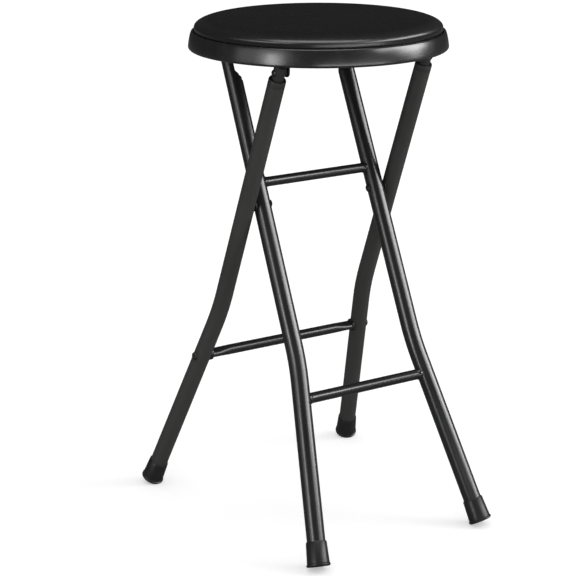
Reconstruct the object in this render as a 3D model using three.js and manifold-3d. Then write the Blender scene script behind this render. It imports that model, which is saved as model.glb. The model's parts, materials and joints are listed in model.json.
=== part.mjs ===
// A folding bar stool: a round padded seat on two crossed tube frames.
// Millimetres, +Z up, crossbars along X, the outer frame's feet at the back (+Y).
// The origin lies on the floor, under the middle of the stool.
import * as THREE from "three";
import { mergeVertices } from "three/addons/utils/BufferGeometryUtils.js";
import Module from "manifold-3d";

const wasm = await Module();
wasm.setup();

const degrees = THREE.MathUtils.degToRad;

// Whole stool
const stoolHeight = 612;
const pivotHeight = 384.4;
const seatSetback = 3;
const padRise = 16.5;
const panHeight = 22.3;
const panRadius = 166;

// Fits between pieces
const fitGap = 0.3;
const overrun = 5;

// Leg tubes, both frames
const tubeRadius = 11;
const tubeWall = 1.2;
const legGap = 1.5;
const bendRadius = 300;
const tubeSides = 20;
const bendSteps = 5;
const rodSides = 12;
const barSides = 16;
const roundSteps = 3;
const edgeSteps = 2;

// Outer frame, whose tops carry the seat hinge
const outerTilt = degrees(23.6);
const legInset = 56.4;
const outerHalfSpan = panRadius - legInset;
const outerBendDrop = 155.6;
const outerSplay = degrees(9.3);
const outerBarDrop = 224;
const hingeDrop = 11.2;
const hingeRise = 8.7;
const collarHeight = 8;
const panTop = stoolHeight - padRise;
const panBottom = panTop - panHeight;
const hingeZ = panBottom - hingeDrop;
const hingeReach = (hingeZ - pivotHeight) / Math.cos(outerTilt);
const collarReach = hingeReach - hingeRise;
const outerTopReach = collarReach - collarHeight;

// Inner frame, whose tops carry the latch bar
const innerTilt = degrees(25.2);
const innerHalfSpan = outerHalfSpan - 2 * tubeRadius - legGap;
const innerBendDrop = 195;
const innerSplay = degrees(8.3);
const upperBarRise = 27.1;
const innerBarDrop = 236.3;
const latchRise = 3;
const latchCover = 10.7;
const latchZ = hingeZ + latchRise;
const latchReach = (latchZ - pivotHeight) / Math.cos(innerTilt);
const innerTopReach = latchReach + latchCover;

// Pinched tops of the inner legs, pressed in from the side that faces the stool's middle
const pinchDepth = 13.1;
const pinchHold = 28.9;
const pinchEase = 13.7;
const pinchSteps = 3;
const pinchFull = latchReach - pinchHold;
const pinchStart = pinchFull - pinchEase;

// Hinge plugs in the tops of the outer legs: a collar on the tube's end, and a neck that stands in a moat
const neckRadius = 7.8;
const neckSides = 24;
const collarEdge = 1.2;
const moatWidth = 1.6;
const moatDepth = 3;
const crownRadius = 11.5;
const plugLength = 22;
const plugPoint = 1;
const bossRadius = 4.2;
const bossHeight = 1.2;

// Crossbars
const barRadius = 6.2;
const barWall = 1;
const weldLeg = 1.3;
const flatLength = 26;
const flatHalfHeight = 4.6;
const flatHalfDepth = 7.2;
const flangeRadius = 8;
const flangeWidth = 2.2;

// Latch bar and its bolts
const latchRadius = 5;
const latchBoltDepth = 12;
const boltTipGap = 0.75;
const boltHeadRadius = 4.6;
const boltHeadHeight = 1.6;

// Rivets
const shankRadius = 2.5;
const rivetHeadRadius = 5.2;
const rivetHeadHeight = 2.2;
const rivetTailRadius = 3.6;
const rivetTailLength = 1.6;
const barRivetGrip = 7;
const hingeHeadRadius = 4.5;
const hingeHeadHeight = 1.3;
const runningGap = 0.3;

// Washer between the crossing tubes
const spacerRadius = 7;

// Rubber feet
const footWall = 1;
const footFlare = 1.3;
const footTopRadius = tubeRadius + fitGap + footWall;
const footBaseRadius = footTopRadius + footFlare;
const footHeight = 27;
const footSole = 4;
const footBead = 0.7;
const footBeadHeight = 3.2;
const footEdge = 1;
const footWear = 1;

// Moulded seat pan
const panFlare = 3.1;
const panBow = 0.5;
const panTopRadius = panRadius - panFlare;
const panWall = 2.5;
const panPlate = 2.5;
const panRecess = 7.5;
const panHem = 3;
const panLip = 3.5;
const panLipRound = 2.5;
const panRibCount = 8;
const panRibHeight = 4.5;
const panRibWidth = 2.4;
const panRibInner = 36;
const panSides = 48;
const hemSteps = 3;
const lipSteps = 3;

// Seat pad: board, foam and vinyl cover
const coverThickness = 1;
const coverHem = 26;
const boardThickness = 8;
const boardEdge = 1;
const padRadius = panTopRadius - panLip - fitGap;
const padSide = 4.6;
const padShoulder = 34;
const padCrown = 0.5;
const padDrawIn = 0.8;
const padFlatShare = 0.6;
const padSteps = 6;
const padSides = 36;

// Hinge brackets
const earThickness = 1.8;
const earRadius = 6.4;
const earShoulder = 14;
const earTopWidth = 34;
const earSteps = 10;
const flangeReach = 26;
const flangeThickness = 1.8;
const bracketScrewPitch = 20;

// Latch catches
const catchInset = 31;
const catchWidth = 16;
const catchWall = 3;
const catchFoot = 11.7;
const catchWrap = degrees(30);
const catchMouth = degrees(130);
const catchLip = degrees(144);
const hookSteps = 9;
const hookTipSteps = 5;

// Screws under the seat
const screwRadius = 1.9;
const screwLength = 12;
const screwHeadRadius = 3.8;
const screwHeadHeight = 1.9;
const screwCrownRadius = 2.6;
const screwSides = 10;

// Materials
const finish = (color, roughness, metalness = 0) => (
  new THREE.MeshStandardMaterial({ color, roughness, metalness })
);
const glossPaint = finish(0x1c1c1e, 0.22);
const satinPaint = finish(0x323230, 0.6);
const rivetSteel = finish(0x1a1a1a, 0.45);
const zincSteel = finish(0x8b8d90, 0.4, 0.9);
const glossPlastic = finish(0x1d1d1f, 0.2);
const satinPlastic = finish(0x2b2b2a, 0.55);
const rubber = finish(0x262626, 0.75);
const vinyl = finish(0x222223, 0.5);
const foam = finish(0xd8cfae, 0.95);
const plywood = finish(0xa98658, 0.8);

// Solids

function signedVolume(geometry) {
  const position = geometry.getAttribute("position");
  const index = geometry.getIndex();
  const corner = [0, 1, 2].map(() => new THREE.Vector3());
  let sum = 0;
  for (let i = 0; i < index.count; i += 3) {
    corner.forEach((point, k) => point.fromBufferAttribute(position, index.getX(i + k)));
    sum += corner[0].dot(corner[1].clone().cross(corner[2]));
  }
  return sum;
}

function flipped(geometry) {
  const index = Array.from(geometry.getIndex().array);
  for (let i = 0; i < index.length; i += 3) {
    [index[i + 1], index[i + 2]] = [index[i + 2], index[i + 1]];
  }
  geometry.setIndex(index);
  return geometry;
}

// A closed body with only positions, merged corners and its faces pointing out.
function closed(geometry) {
  const bare = new THREE.BufferGeometry();
  bare.setAttribute("position", geometry.getAttribute("position").clone());
  if (geometry.getIndex()) bare.setIndex(Array.from(geometry.getIndex().array));
  const merged = mergeVertices(bare, 1e-4);
  const index = Array.from(merged.getIndex().array);
  const kept = [];
  for (let i = 0; i < index.length; i += 3) {
    const [a, b, c] = index.slice(i, i + 3);
    if (a !== b && b !== c && c !== a) kept.push(a, b, c);
  }
  merged.setIndex(kept);
  return signedVolume(merged) < 0 ? flipped(merged) : merged;
}

function solidOf(geometry) {
  const whole = closed(geometry);
  return new wasm.Manifold(new wasm.Mesh({
    numProp: 3,
    vertProperties: new Float32Array(whole.getAttribute("position").array),
    triVerts: new Uint32Array(whole.getIndex().array),
  }));
}

function geometryOf(solid) {
  const mesh = solid.getMesh();
  const positions = new Float32Array(mesh.numVert * 3);
  for (let i = 0; i < mesh.numVert; i += 1) {
    for (let k = 0; k < 3; k += 1) {
      positions[3 * i + k] = mesh.vertProperties[mesh.numProp * i + k];
    }
  }
  const geometry = new THREE.BufferGeometry();
  geometry.setAttribute("position", new THREE.BufferAttribute(positions, 3));
  geometry.setIndex(Array.from(mesh.triVerts));
  return geometry;
}

function cut(body, ...tools) {
  const start = solidOf(body);
  return geometryOf(tools.reduce((left, tool) => left.subtract(solidOf(tool)), start));
}

function join(...bodies) {
  return geometryOf(bodies.map(solidOf).reduce((left, right) => left.add(right)));
}

function common(one, other) {
  return geometryOf(solidOf(one).intersect(solidOf(other)));
}

// The same piece on the other side of the stool's middle.
function mirrored(geometry) {
  return closed(geometry.clone().scale(-1, 1, 1));
}

// Rings of points joined in order. A looped loft joins its last ring to its first.
function loft(rings, looped) {
  const sides = rings[0].length;
  const points = rings.flat();
  const index = [];
  const spans = looped ? rings.length : rings.length - 1;
  for (let r = 0; r < spans; r += 1) {
    const near = r * sides;
    const far = ((r + 1) % rings.length) * sides;
    for (let s = 0; s < sides; s += 1) {
      const t = (s + 1) % sides;
      index.push(near + s, near + t, far + t, near + s, far + t, far + s);
    }
  }
  if (!looped) {
    for (let s = 1; s < sides - 1; s += 1) {
      const last = (rings.length - 1) * sides;
      index.push(0, s + 1, s);
      index.push(last, last + s, last + s + 1);
    }
  }
  const geometry = new THREE.BufferGeometry().setFromPoints(points);
  geometry.setIndex(index);
  return closed(geometry);
}

// A turned piece: [radius, height] pairs round the Z axis.
function turned(pairs, sides) {
  const profile = pairs.map(([radius, height]) => new THREE.Vector2(radius, height));
  return closed(new THREE.LatheGeometry(profile, sides).rotateX(Math.PI / 2));
}

// A turned piece round the X axis, its heights becoming X.
function turnedAlongX(pairs, sides) {
  return turned(pairs, sides).rotateY(Math.PI / 2);
}

function rodAlongX(radius, from, to, sides = rodSides) {
  return turnedAlongX([[0, from], [radius, from], [radius, to], [0, to]], sides);
}

function boxBetween(low, high) {
  const size = high.map((value, k) => value - low[k]);
  const middle = high.map((value, k) => (value + low[k]) / 2);
  return closed(new THREE.BoxGeometry(...size).translate(...middle));
}

function arc(centre, radius, from, to, steps) {
  const points = [];
  for (let i = 0; i <= steps; i += 1) {
    const angle = from + ((to - from) * i) / steps;
    points.push([centre[0] + radius * Math.cos(angle), centre[1] + radius * Math.sin(angle)]);
  }
  return points;
}

// Leg line, drawn in the plane of its frame: X across, W along the leg from the pivot.

function legLine(halfSpan, bendDrop, splay) {
  const tangent = bendRadius * Math.tan(splay / 2);
  const bendStart = -bendDrop + tangent;
  const bendEnd = -bendDrop - tangent * Math.cos(splay);
  return (w) => {
    if (w >= bendStart) return { x: halfSpan, w, angle: 0 };
    if (w <= bendEnd) return { x: halfSpan + Math.tan(splay) * (-bendDrop - w), w, angle: splay };
    const angle = Math.asin((bendStart - w) / bendRadius);
    return { x: halfSpan + bendRadius * (1 - Math.cos(angle)), w, angle };
  };
}

function bendLevels(bendDrop, splay) {
  const tangent = bendRadius * Math.tan(splay / 2);
  const from = -bendDrop + tangent;
  const to = -bendDrop - tangent * Math.cos(splay);
  return Array.from({ length: bendSteps + 1 }, (_, i) => from + ((to - from) * i) / bendSteps);
}

// One ring round the leg, squared to its line. The pinch flattens the side towards X = 0.
function legRing(line, w, radius, pinch = 0, wallShare = 0) {
  const { x, angle } = line(w);
  const flat = -(tubeRadius - pinch) + wallShare * tubeWall;
  return Array.from({ length: tubeSides }, (_, s) => {
    const turn = (2 * Math.PI * s) / tubeSides;
    const across = pinch > 0 ? Math.max(radius * Math.cos(turn), flat) : radius * Math.cos(turn);
    const deep = radius * Math.sin(turn);
    return new THREE.Vector3(x + across * Math.cos(angle), deep, w + across * Math.sin(angle));
  });
}

function pinchAt(w) {
  return pinchDepth * THREE.MathUtils.clamp((w - pinchStart) / pinchEase, 0, 1);
}

// A solid rod along the leg, for coping what meets it.
function legRod(frame, clearance) {
  const levels = [frame.top + overrun, ...bendLevels(frame.bendDrop, frame.splay), -frame.foot - overrun];
  return loft(levels.map((w) => legRing(frame.line, w, tubeRadius + clearance)), false);
}

// Frames

// Where the leg ends: the middle of the sole's underside, so that the sole's low edge is worn flat.
function footDrop(tilt, splay) {
  const lift = Math.sin(Math.acos(Math.cos(tilt) * Math.cos(splay)));
  const soleMiddle = (footBaseRadius + footBead) * lift - footWear;
  return (pivotHeight - soleMiddle) / Math.cos(tilt);
}

function frameOf(tilt, halfSpan, bendDrop, splay, top) {
  const line = legLine(halfSpan, bendDrop, splay);
  return { tilt, bendDrop, splay, top, line, foot: footDrop(tilt, splay) };
}

const outer = frameOf(outerTilt, outerHalfSpan, outerBendDrop, outerSplay, outerTopReach);
const inner = frameOf(-innerTilt, innerHalfSpan, innerBendDrop, innerSplay, innerTopReach);

function legHole(frame, w) {
  const { x } = frame.line(w);
  const hole = rodAlongX(shankRadius + runningGap, x - tubeRadius - overrun, x + tubeRadius + overrun);
  return hole.translate(0, 0, w);
}

function tubeEnd(frame) {
  return -frame.foot + (footSole + fitGap) * Math.cos(frame.splay);
}

function outerLeg() {
  const ring = (w, radius) => legRing(outer.line, w, radius);
  const bore = tubeRadius - tubeWall;
  const levels = [outer.top, ...bendLevels(outer.bendDrop, outer.splay), tubeEnd(outer)];
  const skin = levels.map((w) => ring(w, tubeRadius));
  const inside = levels.map((w) => ring(w, bore)).reverse();
  const { x } = outer.line(0);
  const pivotHole = rodAlongX(shankRadius + runningGap, x - tubeRadius - overrun, x);
  return cut(loft([...skin, ...inside], true), pivotHole, legHole(outer, -outerBarDrop));
}

function innerLeg() {
  const bore = tubeRadius - tubeWall;
  const pressed = Array.from({ length: pinchSteps + 1 }, (_, i) => pinchFull - (pinchEase * i) / pinchSteps);
  const levels = [inner.top, ...pressed, ...bendLevels(inner.bendDrop, inner.splay), tubeEnd(inner)];
  const skin = levels.map((w) => legRing(inner.line, w, tubeRadius, pinchAt(w)));
  const inside = levels.map((w) => legRing(inner.line, w, bore, pinchAt(w), 1)).reverse();
  return cut(loft([...skin, ...inside], true), legHole(inner, 0), legHole(inner, latchReach));
}

// A tube butted between two legs, its ends coped to them, with a weld round each end.
function weldedBar(frame, w) {
  const end = frame.line(w).x;
  const face = end - tubeRadius;
  const half = [
    [barRadius, 0],
    [barRadius, face - 3 * weldLeg],
    [barRadius + weldLeg / 3, face - weldLeg],
    [barRadius + weldLeg, face],
    [barRadius + weldLeg, end],
    [barRadius - barWall, end],
  ];
  const profile = [...half, ...half.slice(1).reverse().map(([radius, x]) => [radius, -x]), half[0]];
  const leg = legRod(frame, fitGap);
  return cut(turnedAlongX(profile, barSides).translate(0, 0, w), leg, mirrored(leg));
}

// The outer frame's bar: its ends are pressed flat and turned out into a flange on each leg.
function rivetedBar() {
  const w = -outerBarDrop;
  const end = outer.line(w).x;
  const face = end - tubeRadius - fitGap;
  const neck = face - flangeWidth;
  const stations = [
    [neck - flatLength, barRadius, barRadius],
    [neck - flatLength / 3, flatHalfDepth, flatHalfHeight],
    [neck, flatHalfDepth, flatHalfHeight],
    [neck + flangeWidth / 4, flangeRadius, flangeRadius],
    [end, flangeRadius, flangeRadius],
  ];
  const ring = ([x, depth, height], wall) => Array.from({ length: barSides }, (_, s) => {
    const turn = (2 * Math.PI * s) / barSides;
    return new THREE.Vector3(x, (depth - wall) * Math.cos(turn), w + (height - wall) * Math.sin(turn));
  });
  const across = [...stations.slice().reverse().map(([x, ...size]) => [-x, ...size]), ...stations];
  const skin = across.map((station) => ring(station, 0));
  const boreOf = ([x, depth, height]) => (
    depth === barRadius ? [x, depth, height] : [x, flatHalfDepth, flatHalfHeight]
  );
  const inside = across.map((station) => ring(boreOf(station), barWall)).reverse();
  const leg = legRod(outer, fitGap);
  return cut(loft([...skin, ...inside], true), leg, mirrored(leg));
}

// Fasteners

function domedHead(radius, height, from, way) {
  const quarter = arc([0, 0], 1, 0, Math.PI / 2, roundSteps);
  const dome = quarter.map(([r, h]) => [radius * r, from + way * height * h]);
  dome[dome.length - 1][0] = 0;
  return turnedAlongX([[0, from], ...dome], rodSides);
}

// Rivet at the crossing: domed head inside the inner leg, tail set inside the outer leg.
function pivotRivet() {
  const headFace = innerHalfSpan - tubeRadius - fitGap;
  const bore = tubeRadius - tubeWall;
  const tailFace = outerHalfSpan - Math.sqrt(bore ** 2 - rivetTailRadius ** 2) + fitGap;
  const tail = rodAlongX(rivetTailRadius, tailFace, tailFace + rivetTailLength);
  const shank = rodAlongX(shankRadius, headFace - rivetHeadHeight / 2, tailFace + rivetTailLength / 2);
  return join(domedHead(rivetHeadRadius, rivetHeadHeight, headFace, -1), shank, tail);
}

function pivotSpacer() {
  const from = innerHalfSpan + tubeRadius + fitGap;
  const to = outerHalfSpan - tubeRadius - fitGap;
  const bore = shankRadius + runningGap;
  const profile = [[bore, from], [spacerRadius, from], [spacerRadius, to], [bore, to], [bore, from]];
  return turnedAlongX(profile, rodSides);
}

// Rivet through the outer leg into the end of its crossbar.
function barRivet() {
  const w = -outerBarDrop;
  const { x, angle } = outer.line(w);
  const seat = x + tubeRadius / Math.cos(angle) + fitGap;
  const head = join(
    domedHead(rivetHeadRadius, rivetHeadHeight, seat, 1),
    rodAlongX(rivetHeadRadius, seat - tubeRadius / 2, seat),
  ).translate(0, 0, w);
  const shank = rodAlongX(shankRadius, x - tubeRadius - barRivetGrip, seat + rivetHeadHeight / 2);
  return join(cut(head, legRod(outer, fitGap)), shank.translate(0, 0, w));
}

function latchBar() {
  const end = latchEnd;
  const hole = rodAlongX(shankRadius + runningGap, end - latchBoltDepth, end + overrun);
  const bar = cut(rodAlongX(latchRadius, -end, end, tubeSides), hole, mirrored(hole));
  return bar.translate(0, 0, latchReach);
}

// Bolt through the pinched top of the inner leg into the latch bar.
function latchBolt() {
  const { x } = inner.line(latchReach);
  const headFace = x + tubeRadius + fitGap;
  const tip = latchEnd - latchBoltDepth + boltTipGap;
  const head = join(
    domedHead(boltHeadRadius, boltHeadHeight, headFace, 1),
    rodAlongX(boltHeadRadius, headFace - tubeRadius / 3, headFace),
  ).translate(0, 0, latchReach);
  const shank = rodAlongX(shankRadius, tip, headFace + boltHeadHeight / 2).translate(0, 0, latchReach);
  return join(cut(head, legRod(inner, fitGap)), shank);
}

// Plug in the top of the outer leg. Its neck is rounded about the hinge and drilled for the rivet.
function hingePlug() {
  const { x } = outer.line(hingeReach);
  const body = tubeRadius - tubeWall - fitGap;
  const seat = outer.top + fitGap;
  const bottom = seat - plugLength;
  const edgeMiddle = [tubeRadius - collarEdge, collarReach - collarEdge];
  const edge = arc(edgeMiddle, collarEdge, 0, Math.PI / 2, edgeSteps);
  const stem = turned([
    [0, bottom],
    [body - plugPoint, bottom],
    [body, bottom + plugPoint],
    [body, seat],
    [tubeRadius, seat],
    ...edge,
    [neckRadius + moatWidth, collarReach],
    [neckRadius + moatWidth, collarReach - moatDepth],
    [neckRadius, collarReach - moatDepth],
    [neckRadius, hingeReach + crownRadius],
    [0, hingeReach + crownRadius],
  ], tubeSides);
  const wide = 2 * tubeRadius;
  const crown = rodAlongX(crownRadius, -wide, wide, neckSides).translate(0, 0, hingeReach);
  const below = boxBetween([-wide, -wide, bottom - overrun], [wide, wide, hingeReach]);
  const boss = rodAlongX(bossRadius, -neckRadius - bossHeight, 0).translate(0, 0, hingeReach);
  const hole = rodAlongX(shankRadius + runningGap, -wide, wide).translate(0, 0, hingeReach);
  return cut(join(common(stem, join(crown, below)), boss), hole).translate(x, 0, 0);
}

// Rivet of the seat hinge: it is fast in the plug, and the bracket's ear turns on it.
function hingeRivet() {
  const { x } = outer.line(hingeReach);
  const headFace = x + neckRadius + fitGap;
  const innerFace = x - neckRadius - bossHeight - 2 * fitGap - earThickness - fitGap;
  const shank = rodAlongX(shankRadius, innerFace - hingeHeadHeight / 2, headFace + hingeHeadHeight / 2);
  const outerHead = domedHead(hingeHeadRadius, hingeHeadHeight, headFace, 1);
  const innerHead = domedHead(hingeHeadRadius, hingeHeadHeight, innerFace, -1);
  return join(outerHead, shank, innerHead).translate(0, 0, hingeReach);
}

// Rubber foot, square to the lower leg, before the floor wears its low edge.
function footCap(frame) {
  const bore = tubeRadius + fitGap;
  const rise = footHeight / footBeadHeight;
  const sideRadius = (share) => footBaseRadius + (footTopRadius - footBaseRadius) * share;
  const cap = turned([
    [0, 0],
    [footBaseRadius + footBead - footEdge, 0],
    [footBaseRadius + footBead, footEdge],
    [footBaseRadius + footBead, footBeadHeight - footBead],
    [sideRadius(1 / rise), footBeadHeight],
    [sideRadius(1 - footEdge / footHeight), footHeight - footEdge],
    [footTopRadius - footEdge / 2, footHeight],
    [bore, footHeight],
    [bore, footSole],
    [0, footSole],
  ], tubeSides);
  const { x } = frame.line(-frame.foot);
  cap.rotateY(-frame.splay).translate(x, 0, -frame.foot);
  const wide = 2 * footHeight;
  const floor = boxBetween([x - wide, -pivotHeight, -wide], [x + wide, pivotHeight, 0]);
  floor.translate(0, 0, -pivotHeight).rotateX(-frame.tilt);
  return cut(cap, floor);
}

// Seat

const hingeY = -Math.sin(outerTilt) * hingeReach;
const hingeX = outer.line(hingeReach).x;
const latchY = Math.sin(innerTilt) * latchReach;
const latchEnd = inner.line(latchReach).x - (tubeRadius - pinchDepth) - fitGap;
const plateTop = panTop - panRecess;
const plateUnder = plateTop - panPlate;
const earOut = hingeX - neckRadius - bossHeight - 2 * fitGap;
const bracketScrewX = earOut - earThickness - flangeReach / 2;
const catchX = latchEnd - catchInset;
const hookRadius = latchRadius + fitGap + catchWall;
const catchReach = hookRadius + catchFoot;
const catchScrewRows = [-1, 1].map((end) => latchY + end * (catchReach - catchFoot / 2));

const screwPlaces = [-1, 1].flatMap((side) => [
  ...[-1, 1].map((end) => ({
    name: `bracket_screw_${side < 0 ? "left" : "right"}_${end < 0 ? "front" : "rear"}`,
    x: side * bracketScrewX,
    y: hingeY + (end * bracketScrewPitch) / 2,
    face: plateUnder - fitGap - flangeThickness - fitGap,
  })),
  ...catchScrewRows.map((y, row) => ({
    name: `catch_screw_${side < 0 ? "left" : "right"}_${row === 0 ? "front" : "rear"}`,
    x: side * catchX,
    y,
    face: plateUnder - fitGap - catchWall - fitGap,
  })),
]);

function screwBore(place, from, to) {
  const hole = turned([
    [0, from],
    [screwRadius + runningGap, from],
    [screwRadius + runningGap, to],
    [0, to],
  ], screwSides);
  return hole.translate(place.x, place.y, 0);
}

function seatScrew(place) {
  const screw = turned([
    [0, -screwHeadHeight],
    [screwCrownRadius, -screwHeadHeight],
    [screwHeadRadius, -screwHeadHeight / 3],
    [screwHeadRadius, 0],
    [screwRadius, 0],
    [screwRadius, screwLength - screwRadius],
    [0, screwLength],
  ], screwSides);
  return screw.translate(place.x, place.y, place.face);
}

// Pan: a flared skirt with a turned-under hem, a lip round the pad and a ribbed plate.
function seatPan() {
  const hemCentre = [panRadius - panHem, panBottom + panHem];
  const lipCentre = [panTopRadius - panLipRound, panTop - panLipRound];
  const lipInner = panTopRadius - panLip;
  const outerHem = arc(hemCentre, panHem, -Math.PI / 2, 0, hemSteps);
  const innerHem = arc(hemCentre, panHem - panWall, 0, -Math.PI / 2, hemSteps - 1);
  const skirt = [
    ...outerHem,
    [(panRadius + panTopRadius) / 2 + panBow, (hemCentre[1] + lipCentre[1]) / 2],
    ...arc(lipCentre, panLipRound, 0, Math.PI / 2, lipSteps),
    [lipInner, panTop],
    [lipInner, plateTop],
    [0, plateTop],
    [0, plateUnder],
    [panTopRadius - panWall, plateUnder],
    [(panRadius + panTopRadius) / 2 + panBow - panWall, (hemCentre[1] + lipCentre[1]) / 2],
    ...innerHem,
    outerHem[0],
  ];
  const shell = turned(skirt, panSides);
  const ribOuter = panTopRadius - panWall / 2;
  const rib = (i) => boxBetween(
    [panRibInner - panRibWidth / 2, -panRibWidth / 2, plateUnder - panRibHeight],
    [ribOuter, panRibWidth / 2, plateUnder + panPlate / 2],
  ).rotateZ((Math.PI * (2 * i + 1)) / panRibCount);
  const hub = turned([
    [panRibInner - panRibWidth, plateUnder - panRibHeight],
    [panRibInner, plateUnder - panRibHeight],
    [panRibInner, plateUnder + panPlate / 2],
    [panRibInner - panRibWidth, plateUnder + panPlate / 2],
    [panRibInner - panRibWidth, plateUnder - panRibHeight],
  ], panSides / 2);
  const ribs = Array.from({ length: panRibCount }, (_, i) => rib(i));
  const placed = join(shell, hub, ...ribs).translate(0, seatSetback, 0);
  const bores = screwPlaces.map((place) => screwBore(place, plateUnder - overrun, plateTop + overrun));
  const pads = [-1, 1].flatMap((side) => [
    boxBetween(
      [side * bracketScrewX - flangeReach, hingeY - earTopWidth, plateUnder - 2 * panRibHeight],
      [side * bracketScrewX + flangeReach, hingeY + earTopWidth, plateUnder],
    ),
    boxBetween(
      [side * catchX - catchWidth, latchY - catchReach - overrun, plateUnder - 2 * panRibHeight],
      [side * catchX + catchWidth, latchY + catchReach + overrun, plateUnder],
    ),
  ]);
  return cut(placed, ...bores, ...pads);
}

const coverBottom = plateTop + fitGap;
const boardBottom = coverBottom + coverThickness + fitGap;
const boardTop = boardBottom + boardThickness;
const foamBottom = boardTop + fitGap;

// Holes for the screws where they stand above the pan's plate.
function padBores() {
  const tip = (place) => place.face + screwLength + runningGap;
  return screwPlaces.map((place) => screwBore(place, plateTop, tip(place)));
}

// The pad's outside from its seam to its crown, moved in by an offset.
function padCurve(offset, bottom) {
  const side = padRadius - offset;
  const shoulder = padShoulder - offset;
  const centre = [padRadius - padShoulder, panTop + padSide];
  const height = stoolHeight - padCrown - offset - centre[1];
  const curve = arc([0, 0], 1, 0, Math.PI / 2, padSteps).map(([across, up]) => [
    centre[0] + shoulder * across,
    centre[1] + height * up,
  ]);
  return [
    [side - padDrawIn / 2, bottom],
    [side, bottom + coverThickness],
    [side - padDrawIn / 2, panTop],
    ...curve,
    [centre[0] * padFlatShare, stoolHeight - offset],
    [0, stoolHeight - offset],
  ];
}

function seatCover() {
  const skin = padCurve(0, coverBottom);
  const lining = padCurve(coverThickness, coverBottom + coverThickness);
  const hemRadius = skin[0][0] - coverHem;
  const profile = [
    [hemRadius, coverBottom],
    ...skin,
    ...lining.slice().reverse(),
    [hemRadius, coverBottom + coverThickness],
    [hemRadius, coverBottom],
  ];
  return cut(turned(profile, padSides).translate(0, seatSetback, 0), ...padBores());
}

function seatFoam() {
  const inset = coverThickness + fitGap;
  const curve = padCurve(inset, foamBottom).filter(([, z]) => z > foamBottom + fitGap);
  const side = padRadius - inset - padDrawIn;
  return turned([[0, foamBottom], [side, foamBottom], ...curve], padSides).translate(0, seatSetback, 0);
}

function seatBoard() {
  const radius = padRadius - coverThickness - fitGap - padDrawIn;
  const disc = turned([
    [0, boardBottom],
    [radius - boardEdge, boardBottom],
    [radius, boardBottom + boardEdge],
    [radius, boardTop - boardEdge],
    [radius - boardEdge, boardTop],
    [0, boardTop],
  ], padSides).translate(0, seatSetback, 0);
  return cut(disc, ...padBores());
}

// Bracket: a flange under the pan, bent down into an ear that turns on the hinge rivet.
function hingeBracket() {
  const earIn = earOut - earThickness;
  const flangeTop = plateUnder - fitGap;
  const flangeUnder = flangeTop - flangeThickness;
  const bend = earThickness;
  const section = new THREE.Shape([
    [earIn, hingeZ - 2 * earRadius],
    [earOut, hingeZ - 2 * earRadius],
    ...arc([earIn - bend, flangeTop - bend - earThickness], bend + earThickness, 0, Math.PI / 2, roundSteps),
    [earIn - flangeReach, flangeTop],
    [earIn - flangeReach, flangeUnder],
    ...arc([earIn - bend, flangeUnder - bend], bend, Math.PI / 2, 0, roundSteps),
  ].map(([x, z]) => new THREE.Vector2(x, z)));
  const bent = new THREE.ExtrudeGeometry(section, { depth: earTopWidth, bevelEnabled: false });
  bent.rotateX(Math.PI / 2).translate(0, hingeY + earTopWidth / 2, 0);
  const outline = new THREE.Shape([
    ...arc([hingeY, hingeZ], earRadius, -Math.PI, 0, earSteps),
    [hingeY + earRadius, hingeZ + earShoulder],
    [hingeY + earTopWidth / 2, flangeUnder - bend],
    [hingeY + earTopWidth / 2, flangeTop + overrun],
    [hingeY - earTopWidth / 2, flangeTop + overrun],
    [hingeY - earTopWidth / 2, flangeUnder - bend],
    [hingeY - earRadius, hingeZ + earShoulder],
  ].map(([y, z]) => new THREE.Vector2(y, z)));
  const length = earOut + overrun;
  const blank = new THREE.ExtrudeGeometry(outline, { depth: length, bevelEnabled: false });
  blank.rotateX(Math.PI / 2).rotateZ(Math.PI / 2);
  const eye = rodAlongX(shankRadius + runningGap, 0, length).translate(0, hingeY, hingeZ);
  const own = screwPlaces.filter((place) => place.x > 0 && Math.abs(place.x - bracketScrewX) < fitGap);
  const bores = own.map((place) => screwBore(place, flangeUnder - overrun, flangeTop + overrun));
  return cut(common(bent, blank), eye, ...bores);
}

// Catch: a foot under the pan and a hook over the back of the latch bar, open to the front and down.
function latchCatch() {
  const inside = latchRadius + fitGap;
  const top = plateUnder - fitGap;
  const centre = [latchY, latchZ];
  const hook = new THREE.Shape([
    [latchY - catchReach, top],
    [latchY - catchReach, top - catchWall],
    [latchY - inside, top - catchWall],
    ...arc(centre, hookRadius, catchLip, catchMouth, 1),
    ...arc(centre, inside, catchMouth, -catchWrap, hookSteps),
    ...arc(centre, hookRadius, -catchWrap, Math.PI / 4, hookTipSteps),
    [latchY + hookRadius, top - catchWall],
    [latchY + catchReach, top - catchWall],
    [latchY + catchReach, top],
  ].map(([y, z]) => new THREE.Vector2(y, z)));
  const body = new THREE.ExtrudeGeometry(hook, { depth: catchWidth, bevelEnabled: false });
  body.rotateX(Math.PI / 2).rotateZ(Math.PI / 2).translate(catchX - catchWidth / 2, 0, 0);
  const own = screwPlaces.filter((place) => Math.abs(place.x - catchX) < fitGap);
  const bores = own.map((place) => screwBore(place, top - catchWall - overrun, top + overrun));
  return cut(body, ...bores);
}

// Assembly

function piece(name, geometry, material) {
  const shape = closed(geometry);
  shape.computeVertexNormals();
  const mesh = new THREE.Mesh(shape, material);
  mesh.name = name;
  return mesh;
}

// A right-hand piece and its left-hand mirror image.
function pair(name, geometry, material) {
  return [
    piece(`${name}_left`, mirrored(geometry), material),
    piece(`${name}_right`, geometry, material),
  ];
}

function leaning(tilt, pieces) {
  const group = new THREE.Group();
  group.position.z = pivotHeight;
  group.rotation.x = tilt;
  group.add(...pieces);
  return group;
}

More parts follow.
